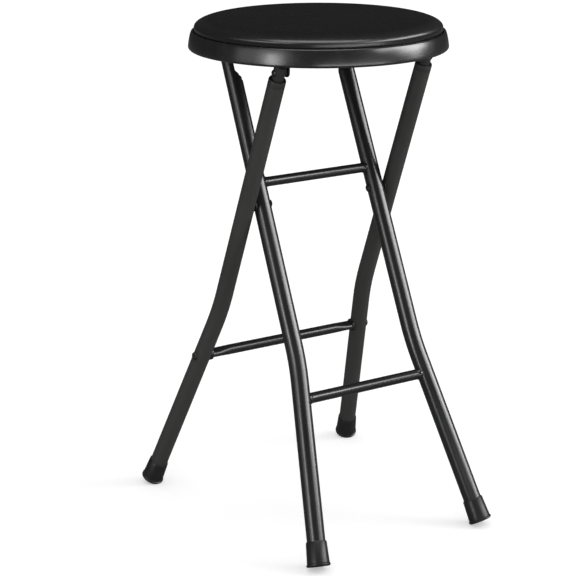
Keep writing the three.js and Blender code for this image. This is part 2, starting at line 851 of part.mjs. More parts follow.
const outerFrame = leaning(outer.tilt, [
  ...pair("outer_leg", outerLeg(), satinPaint),
  ...pair("hinge_plug", hingePlug(), satinPlastic),
  ...pair("hinge_rivet", hingeRivet(), rivetSteel),
  ...pair("outer_foot", footCap(outer), rubber),
  ...pair("pivot_rivet", pivotRivet(), rivetSteel),
  ...pair("pivot_spacer", pivotSpacer(), satinPlastic),
  ...pair("crossbar_rivet", barRivet(), rivetSteel),
  piece("outer_crossbar", rivetedBar(), glossPaint),
]);

const innerFrame = leaning(inner.tilt, [
  ...pair("inner_leg", innerLeg(), glossPaint),
  ...pair("inner_foot", footCap(inner), rubber),
  ...pair("latch_bolt", latchBolt(), rivetSteel),
  piece("upper_crossbar", weldedBar(inner, upperBarRise), glossPaint),
  piece("lower_crossbar", weldedBar(inner, -innerBarDrop), glossPaint),
  piece("latch_bar", latchBar(), glossPaint),
]);

const seat = new THREE.Group();
seat.add(
  piece("seat_pan", seatPan(), glossPlastic),
  piece("seat_board", seatBoard(), plywood),
  piece("seat_foam", seatFoam(), foam),
  piece("seat_cover", seatCover(), vinyl),
  ...pair("hinge_bracket", hingeBracket(), rivetSteel),
  ...pair("latch_catch", latchCatch(), satinPlastic),
  ...screwPlaces.map((place) => piece(place.name, seatScrew(place), zincSteel)),
);

const group = new THREE.Group();
group.add(outerFrame, innerFrame, seat);
group.updateMatrixWorld(true);
const middle = new THREE.Box3().setFromObject(group, true).getCenter(new THREE.Vector3());
group.position.set(-middle.x, -middle.y, 0);

export default group;
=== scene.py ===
import json
import math

import bmesh
import bpy
from mathutils import Matrix, Quaternion, Vector


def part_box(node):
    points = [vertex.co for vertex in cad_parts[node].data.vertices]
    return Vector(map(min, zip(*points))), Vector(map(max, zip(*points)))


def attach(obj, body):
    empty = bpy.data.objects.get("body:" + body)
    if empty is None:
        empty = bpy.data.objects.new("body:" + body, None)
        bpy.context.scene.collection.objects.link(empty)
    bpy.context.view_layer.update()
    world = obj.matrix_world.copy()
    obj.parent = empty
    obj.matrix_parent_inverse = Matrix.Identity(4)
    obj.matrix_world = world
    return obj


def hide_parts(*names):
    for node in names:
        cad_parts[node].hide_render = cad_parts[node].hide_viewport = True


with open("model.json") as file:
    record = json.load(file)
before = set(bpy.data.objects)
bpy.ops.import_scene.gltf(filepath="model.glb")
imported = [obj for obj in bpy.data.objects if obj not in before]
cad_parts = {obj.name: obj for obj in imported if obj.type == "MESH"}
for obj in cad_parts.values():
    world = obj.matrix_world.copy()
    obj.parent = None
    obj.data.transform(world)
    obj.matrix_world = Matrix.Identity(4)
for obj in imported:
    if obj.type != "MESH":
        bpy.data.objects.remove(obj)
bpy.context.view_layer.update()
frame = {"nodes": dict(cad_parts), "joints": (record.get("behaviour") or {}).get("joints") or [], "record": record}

MM = 0.001

# Places taken from the frame

cover_low, cover_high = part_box("seat_cover")
pan_low, pan_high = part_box("seat_pan")
SEAT_X = (cover_low.x + cover_high.x) / 2
SEAT_Y = (cover_low.y + cover_high.y) / 2
PAD_RADIUS = (cover_high.x - cover_low.x) / 2
PAD_TOP = cover_high.z
PAD_BOTTOM = cover_low.z
PAN_TOP = pan_high.z
PAN_BOTTOM = pan_low.z
PAN_RADIUS = (pan_high.x - pan_low.x) / 2

# Camera, as fitted to the photograph. The lens looks level but its picture is taken low down, so that
# upright lines stay upright. The place on the picture is where the lens axis meets it. A mount carries
# that as a slanted frame and not as a lens shift, so a camera taken off its mount is a plain one.

CAMERA_AZIMUTH = math.radians(33.307)
CAMERA_REACH = 2.3994
CAMERA_HEIGHT = 0.9523
CAMERA_FOCAL_PX = 1886.2
CAMERA_AXIS_PX = (319.81, -250.87)
PICTURE_PX = 576
SENSOR_WIDTH_MM = 36


def add_camera():
    ahead = Vector((math.sin(CAMERA_AZIMUTH), math.cos(CAMERA_AZIMUTH), 0))
    right = Vector((ahead.y, -ahead.x, 0))
    up = Vector((0, 0, 1))
    middle = PICTURE_PX / 2
    across = (middle - CAMERA_AXIS_PX[0]) / CAMERA_FOCAL_PX
    down = (middle - CAMERA_AXIS_PX[1]) / CAMERA_FOCAL_PX
    to_middle = ahead + right * across - up * down
    joint = next(j for j in frame["joints"] if j["name"] == "leg_fold")
    place = Vector((0, joint["pos_m"][1], CAMERA_HEIGHT)) - ahead * CAMERA_REACH
    data = bpy.data.cameras.new("camera")
    data.sensor_width = SENSOR_WIDTH_MM
    data.lens = SENSOR_WIDTH_MM * CAMERA_FOCAL_PX / PICTURE_PX * to_middle.length
    camera = bpy.data.objects.new("camera", data)
    mount = bpy.data.objects.new("camera_mount", None)
    bpy.context.scene.collection.objects.link(camera)
    bpy.context.scene.collection.objects.link(mount)
    slant = Matrix((right, up, -to_middle.normalized())).transposed().to_4x4()
    camera.parent = mount
    camera.matrix_parent_inverse = Matrix.Translation(place) @ slant
    bpy.context.scene.camera = camera
    bpy.context.scene.view_settings.view_transform = "Standard"


# Studio. Camera and transmission rays see white all round. Glossy rays see a dim room and a darker
# floor, because the black gloss in the photograph mirrors a dark room. To show them the white too,
# camera_or_glass would take the glossy output into its maximum.

ROOM_LIGHT = 0.66
ROOM_MIRRORED = 0.041
FLOOR_ALBEDO = 0.82
FLOOR_MIRRORED = 0.18
FLOOR_NEAR = 0.6
FLOOR_NEAR_LIFT = 0.41
FLOOR_FAR = 3.0
FLOOR_FAR_LIFT = 0.48
FLOOR_HALF = 6.0


def camera_or_glass(tree):
    """Two values: 1 on camera and transmission rays, and 1 on glossy rays."""
    path = tree.nodes.new("ShaderNodeLightPath")
    seen = tree.nodes.new("ShaderNodeMath")
    seen.operation = "MAXIMUM"
    tree.links.new(path.outputs["Is Camera Ray"], seen.inputs[0])
    tree.links.new(path.outputs["Is Transmission Ray"], seen.inputs[1])
    return seen.outputs[0], path.outputs["Is Glossy Ray"]


def mixed_shader(tree, factor, low, high):
    mix = tree.nodes.new("ShaderNodeMixShader")
    tree.links.new(factor, mix.inputs["Fac"])
    tree.links.new(low, mix.inputs[1])
    tree.links.new(high, mix.inputs[2])
    return mix.outputs[0]


def sky(tree, strength):
    node = tree.nodes.new("ShaderNodeBackground")
    node.inputs["Color"].default_value = (1, 1, 1, 1)
    node.inputs["Strength"].default_value = strength
    return node.outputs[0]


def add_world():
    world = bpy.data.worlds.new("studio")
    world.use_nodes = True
    bpy.context.scene.world = world
    tree = world.node_tree
    tree.nodes.clear()
    out = tree.nodes.new("ShaderNodeOutputWorld")
    seen, glossy = camera_or_glass(tree)
    around = mixed_shader(tree, glossy, sky(tree, ROOM_LIGHT), sky(tree, ROOM_MIRRORED))
    tree.links.new(mixed_shader(tree, seen, around, sky(tree, 1)), out.inputs["Surface"])


def paper(tree, albedo):
    node = tree.nodes.new("ShaderNodeBsdfDiffuse")
    node.inputs["Color"].default_value = (albedo, albedo, albedo, 1)
    return node.outputs[0]


def lifted_paper(tree, plain):
    """The floor as the camera sees it: lit paper and a little glow, which rises to white far away."""
    away = tree.nodes.new("ShaderNodeVectorMath")
    away.operation = "LENGTH"
    tree.links.new(tree.nodes.new("ShaderNodeNewGeometry").outputs["Position"], away.inputs[0])
    lift = ranged(tree, away.outputs["Value"], FLOOR_NEAR_LIFT, FLOOR_FAR_LIFT, FLOOR_NEAR, FLOOR_FAR)
    lit = tree.nodes.new("ShaderNodeEmission")
    tree.links.new(lift, lit.inputs["Strength"])
    lifted = tree.nodes.new("ShaderNodeAddShader")
    tree.links.new(plain, lifted.inputs[0])
    tree.links.new(lit.outputs[0], lifted.inputs[1])
    return lifted.outputs[0]


def floor_material():
    material = bpy.data.materials.new("floor")
    material.use_nodes = True
    tree = material.node_tree
    tree.nodes.clear()
    out = tree.nodes.new("ShaderNodeOutputMaterial")
    seen, glossy = camera_or_glass(tree)
    plain = paper(tree, FLOOR_ALBEDO)
    around = mixed_shader(tree, glossy, plain, paper(tree, FLOOR_MIRRORED))
    tree.links.new(mixed_shader(tree, seen, around, lifted_paper(tree, plain)), out.inputs["Surface"])
    return material


def add_floor():
    half = FLOOR_HALF
    mesh = bpy.data.meshes.new("floor")
    corners = [(-half, -half, 0), (half, -half, 0), (half, half, 0), (-half, half, 0)]
    mesh.from_pydata(corners, [], [(0, 1, 2, 3)])
    floor = bpy.data.objects.new("floor", mesh)
    bpy.context.scene.collection.objects.link(floor)
    mesh.materials.append(floor_material())


# Lamps. Each row: degrees to the right of the camera and degrees up as seen from the stool, width and
# height in degrees, and radiance. The soft lamps light the surfaces and the floor, and the others only
# show as shapes in the gloss. The frame's low ones leave out the pad, whose flat top would mirror them
# to a camera behind the stool, and the pad has higher ones of its own.

LAMP_REACH = 4.0
LAMP_AIM_HEIGHT = 0.45
SOFT_LAMPS = {
    "soft_right": (90, 26, 22, 50, 3.1),
    "soft_front_right": (48, 18, 30, 20, 1.4),
    "soft_front": (0, 40, 30, 24, 1.0),
}
MIRRORED_LAMPS = {
    "shine_front": (30, -4, 60, 8, 9.0),
    "shine_top": (0, 76, 53, 30, 4.8),
}
FRAME_LAMPS = {
    "shine_right": (91, 18, 32, 20, 10.5),
    "shine_right_core": (92, 10, 12, 18, 7.5),
    "shine_right_side": (67, 25, 26, 16, 9.0),
    "shine_left": (-42, 16, 24, 36, 2.2),
    "shine_left_core": (-39, 4, 11, 24, 10.5),
    "shine_left_side": (-66, 10, 16, 26, 1.5),
}
PAD_LAMPS = {
    "pad_right": (86, 37, 66, 16, 8.0),
    "pad_right_core": (84, 35, 20, 18, 4.5),
    "pad_front": (34, 27, 40, 10, 2.6),
    "pad_left": (-44, 33, 30, 18, 5.0),
    "pad_left_side": (-70, 33, 22, 16, 2.4),
}


def add_lamp(name, right, up, width, height, radiance):
    turn = CAMERA_AZIMUTH - math.radians(right)
    rise = math.radians(up)
    away = Vector((-math.sin(turn) * math.cos(rise), -math.cos(turn) * math.cos(rise), math.sin(rise)))
    data = bpy.data.lights.new(name, "AREA")
    data.shape = "RECTANGLE"
    data.size, data.size_y = (2 * LAMP_REACH * math.tan(math.radians(a) / 2) for a in (width, height))
    data.energy = radiance * math.pi * data.size * data.size_y
    lamp = bpy.data.objects.new(name, data)
    bpy.context.scene.collection.objects.link(lamp)
    lamp.location = Vector((SEAT_X, SEAT_Y, LAMP_AIM_HEIGHT)) + away * LAMP_REACH
    lamp.rotation_mode = "QUATERNION"
    lamp.rotation_quaternion = (-away).to_track_quat("-Z", "Y")
    return lamp


def shine_for(lamp, piece, state):
    """Shows the lamp in this piece alone (INCLUDE) or in all the others (EXCLUDE)."""
    group = bpy.data.collections.new(lamp.name + "_" + piece.name)
    group.objects.link(piece)
    group.collection_objects[0].light_linking.link_state = state
    lamp.light_linking.receiver_collection = group


def add_lamps(pad):
    for name, values in SOFT_LAMPS.items():
        add_lamp(name, *values).visible_glossy = False
    for lamps, state in ((MIRRORED_LAMPS, None), (FRAME_LAMPS, "EXCLUDE"), (PAD_LAMPS, "INCLUDE")):
        for name, values in lamps.items():
            lamp = add_lamp(name, *values)
            lamp.visible_diffuse = False
            if state:
                shine_for(lamp, pad, state)


# Materials

def node_material(name, colour, roughness, metallic=0.0, specular=0.5):
    material = bpy.data.materials.new(name)
    material.use_nodes = True
    tree = material.node_tree
    shader = tree.nodes["Principled BSDF"]
    shader.inputs["Base Color"].default_value = (*colour, 1)
    shader.inputs["Roughness"].default_value = roughness
    shader.inputs["Metallic"].default_value = metallic
    shader.inputs["Specular IOR Level"].default_value = specular
    return material, tree, shader


def object_point(tree, stretch=(1, 1, 1)):
    """The place on the piece, stretched by a factor along each axis."""
    coordinates = tree.nodes.new("ShaderNodeTexCoord")
    mapping = tree.nodes.new("ShaderNodeMapping")
    mapping.inputs["Scale"].default_value = stretch
    tree.links.new(coordinates.outputs["Object"], mapping.inputs["Vector"])
    return mapping.outputs["Vector"]


def noise_value(tree, point, scale, detail=2.0, roughness=0.5):
    texture = tree.nodes.new("ShaderNodeTexNoise")
    texture.inputs["Scale"].default_value = scale
    texture.inputs["Detail"].default_value = detail
    texture.inputs["Roughness"].default_value = roughness
    tree.links.new(point, texture.inputs["Vector"])
    return texture.outputs["Fac"]


def cell_value(tree, point, scale, feature="F1"):
    texture = tree.nodes.new("ShaderNodeTexVoronoi")
    texture.feature = feature
    texture.inputs["Scale"].default_value = scale
    tree.links.new(point, texture.inputs["Vector"])
    return texture.outputs["Distance"]


def ranged(tree, source, low, high, start=0.35, end=0.65):
    ramp = tree.nodes.new("ShaderNodeMapRange")
    ramp.inputs["From Min"].default_value = start
    ramp.inputs["From Max"].default_value = end
    ramp.inputs["To Min"].default_value = low
    ramp.inputs["To Max"].default_value = high
    tree.links.new(source, ramp.inputs["Value"])
    return ramp.outputs["Result"]


def combined(tree, operation, one, other):
    node = tree.nodes.new("ShaderNodeMath")
    node.operation = operation
    for socket, value in zip(node.inputs, (one, other)):
        if isinstance(value, (int, float)):
            socket.default_value = value
        else:
            tree.links.new(value, socket)
    return node.outputs[0]


def add_bump(tree, shader, heights):
    """heights holds (value, depth in metres) pairs, the finest last."""
    normal = None
    for value, depth in heights:
        bump = tree.nodes.new("ShaderNodeBump")
        bump.inputs["Strength"].default_value = 1
        bump.inputs["Distance"].default_value = depth
        tree.links.new(value, bump.inputs["Height"])
        if normal is not None:
            tree.links.new(normal, bump.inputs["Normal"])
        normal = bump.outputs["Normal"]
    tree.links.new(normal, shader.inputs["Normal"])


MIX_FACTOR = 0
MIX_COLOURS = (6, 7)
MIX_RESULT = 2


def mixed_colour(tree, factor, low, high):
    """Each colour is a tuple or a socket. A Mix node's colour sockets come after its other kinds."""
    mix = tree.nodes.new("ShaderNodeMix")
    mix.data_type = "RGBA"
    for place, value in zip(MIX_COLOURS, (low, high)):
        if isinstance(value, tuple):
            mix.inputs[place].default_value = (*value, 1)
        else:
            tree.links.new(value, mix.inputs[place])
    tree.links.new(factor, mix.inputs[MIX_FACTOR])
    return mix.outputs[MIX_RESULT]


WEAR_RADIUS = 0.6 * MM
WEAR_SAMPLES = 4
WEAR_FULL_COSINE = 0.8
WEAR_NO_COSINE = 0.98
MARK_ROUGHNESS = 0.05


def edge_wear(tree):
    """1 where the surface turns sharply within the wear's radius, 0 on the open faces."""
    bevel = tree.nodes.new("ShaderNodeBevel")
    bevel.samples = WEAR_SAMPLES
    bevel.inputs["Radius"].default_value = WEAR_RADIUS
    geometry = tree.nodes.new("ShaderNodeNewGeometry")
    dot = tree.nodes.new("ShaderNodeVectorMath")
    dot.operation = "DOT_PRODUCT"
    tree.links.new(bevel.outputs["Normal"], dot.inputs[0])
    tree.links.new(geometry.outputs["Normal"], dot.inputs[1])
    return ranged(tree, dot.outputs["Value"], 1, 0, WEAR_FULL_COSINE, WEAR_NO_COSINE)


def scuffs(tree, point, scale, share):
    """Sparse thin rubbed marks: 1 on a mark."""
    streak = noise_value(tree, point, scale, detail=4, roughness=0.6)
    return ranged(tree, streak, 0, 1, start=1 - share, end=1 - share / 2)


def marked_roughness(tree, drift, low, high, marks):
    """Drifts from low to high and rises a little on the marks."""
    rise = combined(tree, "MULTIPLY", marks, MARK_ROUGHNESS)
    return combined(tree, "ADD", ranged(tree, drift, low, high), rise)


def lightened(colour, gain, lift):
    return tuple(channel * gain + lift for channel in colour)


def powder_coat(name, colour, roughness, grain, grain_depth, specular=0.5):
    """Sprayed and baked paint: a soft peel, a finer grain, and edges that are rubbed in places."""
    material, tree, shader = node_material(name, colour, roughness, specular=specular)
    point = object_point(tree)
    cloud = noise_value(tree, point, scale=9, detail=3)
    peel = noise_value(tree, point, grain, roughness=0.45)
    fine = noise_value(tree, point, grain * 4, detail=1)
    worn = combined(tree, "MULTIPLY", edge_wear(tree), scuffs(tree, point, scale=160, share=0.42))
    body = mixed_colour(tree, cloud, colour, lightened(colour, gain=1.3, lift=0.001))
    rubbed = lightened(colour, gain=2.2, lift=0.012)
    tree.links.new(mixed_colour(tree, worn, body, rubbed), shader.inputs["Base Color"])
    marks = scuffs(tree, object_point(tree, (1, 1, 0.2)), scale=240, share=0.36)
    rough = marked_roughness(tree, cloud, roughness * 0.88, roughness * 1.15, marks)
    tree.links.new(rough, shader.inputs["Roughness"])
    add_bump(tree, shader, [(peel, grain_depth), (fine, grain_depth / 4)])
    return material


def moulded(name, colour, roughness, wave_depth, grain_depth, specular=0.5):
    """Moulded plastic: a slight sink in its faces, a fine grain and marks from handling."""
    material, tree, shader = node_material(name, colour, roughness, specular=specular)
    point = object_point(tree)
    wave = noise_value(tree, point, scale=22, detail=1)
    cloud = noise_value(tree, point, scale=40, detail=3)
    grain = noise_value(tree, point, scale=2600)
    body = mixed_colour(tree, cloud, colour, lightened(colour, gain=1.35, lift=0.001))
    tree.links.new(body, shader.inputs["Base Color"])
    marks = scuffs(tree, object_point(tree, (0.3, 1, 1)), scale=300, share=0.35)
    rough = marked_roughness(tree, cloud, roughness * 0.9, roughness * 1.12, marks)
    tree.links.new(rough, shader.inputs["Roughness"])
    add_bump(tree, shader, [(wave, wave_depth), (grain, grain_depth)])
    return material


VINYL_PULL = 0.05 * MM
VINYL_CRACKS = 0.012 * MM
VINYL_CELLS = 0.01 * MM
VINYL_SHOULDER_GLOSS = 0.5
VINYL_LEVEL_GLOSS = 0.05
VINYL_SHOULDER_FACING = 0.93
VINYL_LEVEL_FACING = 0.985


def vinyl_material():
    """Glossy at the shoulder and dull on the level middle, where it is sat on. How far the surface faces
    up, from 0 on a wall to 1 on a level face, tells the two apart."""
    black = (0.0138, 0.0138, 0.0142)
    cloudy = (0.0163, 0.0163, 0.0168)
    material, tree, shader = node_material("vinyl", black, roughness=0.33)
    point = object_point(tree)
    cells = cell_value(tree, point, scale=900)
    creases = cell_value(tree, point, scale=620, feature="DISTANCE_TO_EDGE")
    cracks = ranged(tree, creases, 0, 1, start=0, end=0.12)
    cloud = noise_value(tree, point, scale=12, detail=3)
    pull = noise_value(tree, point, scale=45)
    tree.links.new(mixed_colour(tree, cloud, black, cloudy), shader.inputs["Base Color"])
    tree.links.new(ranged(tree, cloud, 0.25, 0.29), shader.inputs["Roughness"])
    facing = tree.nodes.new("ShaderNodeSeparateXYZ")
    tree.links.new(tree.nodes.new("ShaderNodeTexCoord").outputs["Normal"], facing.inputs[0])
    gloss = ranged(
        tree, facing.outputs["Z"], VINYL_SHOULDER_GLOSS, VINYL_LEVEL_GLOSS,
        VINYL_SHOULDER_FACING, VINYL_LEVEL_FACING,
    )
    tree.links.new(gloss, shader.inputs["Specular IOR Level"])
    add_bump(tree, shader, [(pull, VINYL_PULL), (cracks, VINYL_CRACKS), (cells, VINYL_CELLS)])
    return material


RUBBER_SWELLING = 0.08 * MM
RUBBER_GRAIN = 0.01 * MM
DUST_FULL_HEIGHT = 0.5 * MM
DUST_NO_HEIGHT = 9 * MM


def rubber_material():
    """Black rubber with dust near the sole."""
    black = (0.011, 0.011, 0.011)
    cloudy = (0.024, 0.024, 0.024)
    dusty = (0.09, 0.085, 0.078)
    material, tree, shader = node_material("rubber", black, roughness=0.34, specular=0.25)
    point = object_point(tree)
    speckle = noise_value(tree, point, scale=1500, detail=3, roughness=0.7)
    cloud = noise_value(tree, point, scale=60, detail=4, roughness=0.6)
    height = tree.nodes.new("ShaderNodeSeparateXYZ")
    tree.links.new(point, height.inputs[0])
    low = ranged(tree, height.outputs["Z"], 1, 0, DUST_FULL_HEIGHT, DUST_NO_HEIGHT)
    dust = combined(tree, "MULTIPLY", low, ranged(tree, cloud, 0, 0.35, start=0.4, end=0.7))
    body = mixed_colour(tree, cloud, black, cloudy)
    tree.links.new(mixed_colour(tree, dust, body, dusty), shader.inputs["Base Color"])
    tree.links.new(ranged(tree, speckle, 0.32, 0.40), shader.inputs["Roughness"])
    add_bump(tree, shader, [(cloud, RUBBER_SWELLING), (speckle, RUBBER_GRAIN)])
    return material


PLATING_GRAIN = 0.01 * MM


def plated_material():
    zinc = (0.46, 0.465, 0.47)
    passivated = (0.36, 0.345, 0.30)
    material, tree, shader = node_material("zinc_steel", zinc, roughness=0.32, metallic=1.0)
    cloud = noise_value(tree, object_point(tree), scale=260, detail=3)
    grain = noise_value(tree, object_point(tree, (1, 1, 5)), scale=2200)
    tree.links.new(mixed_colour(tree, cloud, zinc, passivated), shader.inputs["Base Color"])
    tree.links.new(ranged(tree, grain, 0.24, 0.42), shader.inputs["Roughness"])
    add_bump(tree, shader, [(grain, PLATING_GRAIN)])
    return material


PLYWOOD_GRAIN = 0.06 * MM


def plywood_material():
    """Veneer grain along x, and thin dark layers in the height."""
    light = (0.42, 0.27, 0.13)
    dark = (0.25, 0.14, 0.06)
    glue = (0.16, 0.09, 0.04)
    material, tree, shader = node_material("plywood", light, roughness=0.75)
    grain = noise_value(tree, object_point(tree, (1, 14, 14)), scale=26, detail=5, roughness=0.6)
    layer = noise_value(tree, object_point(tree, (0, 0, 1)), scale=700, detail=0)
    body = mixed_colour(tree, grain, light, dark)
    layers = ranged(tree, layer, 0, 0.5, start=0.5, end=0.6)
    tree.links.new(mixed_colour(tree, layers, body, glue), shader.inputs["Base Color"])
    tree.links.new(ranged(tree, grain, 0.68, 0.82), shader.inputs["Roughness"])
    add_bump(tree, shader, [(grain, PLYWOOD_GRAIN)])
    return material


FOAM_CELLS = 0.4 * MM


def foam_material():
    cell_colour = (0.4, 0.35, 0.22)
    wall_colour = (0.62, 0.56, 0.38)
    material, tree, shader = node_material("foam", wall_colour, roughness=0.95)
    cells = cell_value(tree, object_point(tree), scale=1200)
    tree.links.new(mixed_colour(tree, cells, cell_colour, wall_colour), shader.inputs["Base Color"])
    add_bump(tree, shader, [(cells, FOAM_CELLS)])
    return material


SLOT_MATERIALS = {
    "outer_frame_paint": powder_coat(
        "satin_paint", (0.0335, 0.0335, 0.032), roughness=0.62,
        grain=1100, grain_depth=0.03 * MM, specular=0.3,
    ),
    "inner_frame_paint": powder_coat(
        "gloss_paint", (0.0125, 0.0125, 0.013), roughness=0.27, grain=420, grain_depth=0.006 * MM
    ),
    "rivet_steel": powder_coat(
        "rivet_steel", (0.0095, 0.0095, 0.0095), roughness=0.42, grain=900, grain_depth=0.01 * MM
    ),
    "zinc_steel": plated_material(),
    "pan_plastic": moulded(
        "pan_plastic", (0.0145, 0.0145, 0.015), roughness=0.25, wave_depth=0.03 * MM, grain_depth=0.001 * MM
    ),
    "satin_plastic": moulded(
        "satin_plastic", (0.024, 0.024, 0.023), roughness=0.55,
        wave_depth=0.02 * MM, grain_depth=0.01 * MM, specular=0.35,
    ),
    "rubber": rubber_material(),
    "vinyl": vinyl_material(),
    "foam": foam_material(),
    "plywood": plywood_material(),
}


# CAD nodes: smooth shading by angle, and their materials

SMOOTH_ANGLE = math.radians(32)
MERGE_DISTANCE = 0.005 * MM


def smoothing_group():
    """Joins the triangles' corners and shades them smooth but for edges sharper than the angle."""
    group = bpy.data.node_groups.new("smooth_by_angle", "GeometryNodeTree")
    group.interface.new_socket("Geometry", in_out="INPUT", socket_type="NodeSocketGeometry")
    group.interface.new_socket("Geometry", in_out="OUTPUT", socket_type="NodeSocketGeometry")
    nodes = group.nodes
    start = nodes.new("NodeGroupInput")
    end = nodes.new("NodeGroupOutput")
    merge = nodes.new("GeometryNodeMergeByDistance")
    merge.inputs["Distance"].default_value = MERGE_DISTANCE
    faces = nodes.new("GeometryNodeSetShadeSmooth")
    faces.domain = "FACE"
    faces.inputs["Shade Smooth"].default_value = True
    edges = nodes.new("GeometryNodeSetShadeSmooth")
    edges.domain = "EDGE"
    edges.inputs["Shade Smooth"].default_value = False
    angle = nodes.new("GeometryNodeInputMeshEdgeAngle")
    compare = nodes.new("FunctionNodeCompare")
    compare.data_type = "FLOAT"
    compare.operation = "GREATER_THAN"
    compare.inputs["B"].default_value = SMOOTH_ANGLE
    group.links.new(start.outputs[0], merge.inputs["Geometry"])
    group.links.new(merge.outputs["Geometry"], faces.inputs["Geometry"])
    group.links.new(faces.outputs["Geometry"], edges.inputs["Geometry"])
    group.links.new(angle.outputs["Unsigned Angle"], compare.inputs["A"])
    group.links.new(compare.outputs["Result"], edges.inputs["Selection"])
    group.links.new(edges.outputs["Geometry"], end.inputs[0])
    return group


SMOOTHING = smoothing_group()


def finish_piece(piece, slot):
    piece.data.materials.clear()
    piece.data.materials.append(SLOT_MATERIALS[slot])
    modifier = piece.modifiers.new("smooth", "NODES")
    modifier.node_group = SMOOTHING


def dress_nodes():
    slots = {row["node"]: row["material_slot"] for row in frame["record"]["subparts"]}
    for name, node in frame["nodes"].items():
        finish_piece(node, slots[name])


# Mesh tools

AXIS_GAP = 0.01 * MM


def arc(centre, radius, start, end, steps):
    """Points on an arc between two angles in degrees."""
    points = []
    for i in range(steps + 1):
        angle = math.radians(start + (end - start) * i / steps)
        points.append((centre[0] + radius * math.cos(angle), centre[1] + radius * math.sin(angle)))
    return points


def leaning(degrees):
    angle = math.radians(degrees)
    return Vector((-math.sin(angle), math.cos(angle)))


def curve_between(start, end, start_lean, end_lean, steps):
    """A smooth rise from start to end, leaning inwards by start_lean and then end_lean degrees."""
    low, high = leaning(start_lean), leaning(end_lean)
    gap = Vector(end) - Vector(start)
    reach = (gap.x * high.y - gap.y * high.x) / (low.x * high.y - low.y * high.x)
    middle = Vector(start) + low * reach
    points = []
    for i in range(1, steps):
        t = i / steps
        point = (1 - t) ** 2 * Vector(start) + 2 * t * (1 - t) * middle + t ** 2 * Vector(end)
        points.append((point.x, point.y))
    return points


def turned(name, profile, sides, looped=False):
    """A piece turned about the seat's middle from (radius, height) pairs."""
    mesh = bmesh.new()
    rings = []
    for radius, height in profile:
        if radius < AXIS_GAP:
            rings.append([mesh.verts.new((SEAT_X, SEAT_Y, height))])
            continue
        rings.append([
            mesh.verts.new((
                SEAT_X + radius * math.cos(2 * math.pi * s / sides),
                SEAT_Y + radius * math.sin(2 * math.pi * s / sides),
                height,
            ))
            for s in range(sides)
        ])
    spans = list(zip(rings, rings[1:])) + ([(rings[-1], rings[0])] if looped else [])
    for near, far in spans:
        for s in range(sides):
            t = (s + 1) % sides
            around = (near[s % len(near)], near[t % len(near)], far[t % len(far)], far[s % len(far)])
            corners = list(dict.fromkeys(around))
            if len(corners) > 2:
                mesh.faces.new(corners)
    bmesh.ops.recalc_face_normals(mesh, faces=mesh.faces)
    return new_piece(name, mesh)


def new_piece(name, mesh):
    data = bpy.data.meshes.new(name)
    mesh.to_mesh(data)
    mesh.free()
    data.polygons.foreach_set("use_smooth", [True] * len(data.polygons))
    piece = bpy.data.objects.new(name, data)
    bpy.context.scene.collection.objects.link(piece)
    return piece


def add_box(mesh, low, high, turn=None):
    """A box between two corners, turned about the seat's middle."""
    made = bmesh.ops.create_cube(mesh, size=1)["verts"]
    for vert in made:
        vert.co = Vector(low[k] if vert.co[k] < 0 else high[k] for k in range(3))
    if turn is not None:
        bmesh.ops.rotate(mesh, verts=made, cent=(SEAT_X, SEAT_Y, 0), matrix=turn)
    return made


def bake(piece):
    """Applies every modifier of the piece."""
    graph = bpy.context.evaluated_depsgraph_get()
    graph.update()
    mesh = bpy.data.meshes.new_from_object(piece.evaluated_get(graph))
    piece.modifiers.clear()
    piece.data = mesh


def cut_away(piece, tool):
    """Takes the tool's volume out of the piece and removes the tool."""
    modifier = piece.modifiers.new("cut", "BOOLEAN")
    modifier.operation = "DIFFERENCE"
    modifier.solver = "EXACT"
    modifier.object = tool
    bake(piece)
    bpy.data.objects.remove(tool)


def joined(name, pieces):
    """One piece from several, which are removed."""
    mesh = bmesh.new()
    for piece in pieces:
        mesh.from_mesh(piece.data)
        bpy.data.objects.remove(piece)
    return new_piece(name, mesh)


# Seat pan: the moulded shell with its rim, hem, plate and ribs

PAN_SIDES = 192
PAN_WALL = 2.5 * MM
PAN_FLARE = 3.1 * MM
PAN_HEM = 3 * MM
PAN_HEM_LEAN = 5
PAN_LIP = 3.5 * MM
PAN_LIP_ROUND = 2.5 * MM
PAN_LIP_LEAN = 19
PAN_LIP_INNER_ROUND = 0.7 * MM
PAD_CLEARANCE = 0.3 * MM
PAN_PLATE_TOP = PAD_BOTTOM - PAD_CLEARANCE
PAN_PLATE = 2.5 * MM
PAN_PLATE_UNDER = PAN_PLATE_TOP - PAN_PLATE
RIB_COUNT = 8
RIB_HEIGHT = 4.5 * MM
RIB_WIDTH = 2.4 * MM
RIB_INNER = 36 * MM
RIB_EDGE = 0.5 * MM
MOUNT_MARGIN = 4 * MM
MOUNT_DEPTH = 3 * RIB_HEIGHT
MOUNTS = ("hinge_bracket_left", "hinge_bracket_right", "latch_catch_left", "latch_catch_right")
SCREW_BORE = 2.2 * MM
SCREW_SIDES = 16


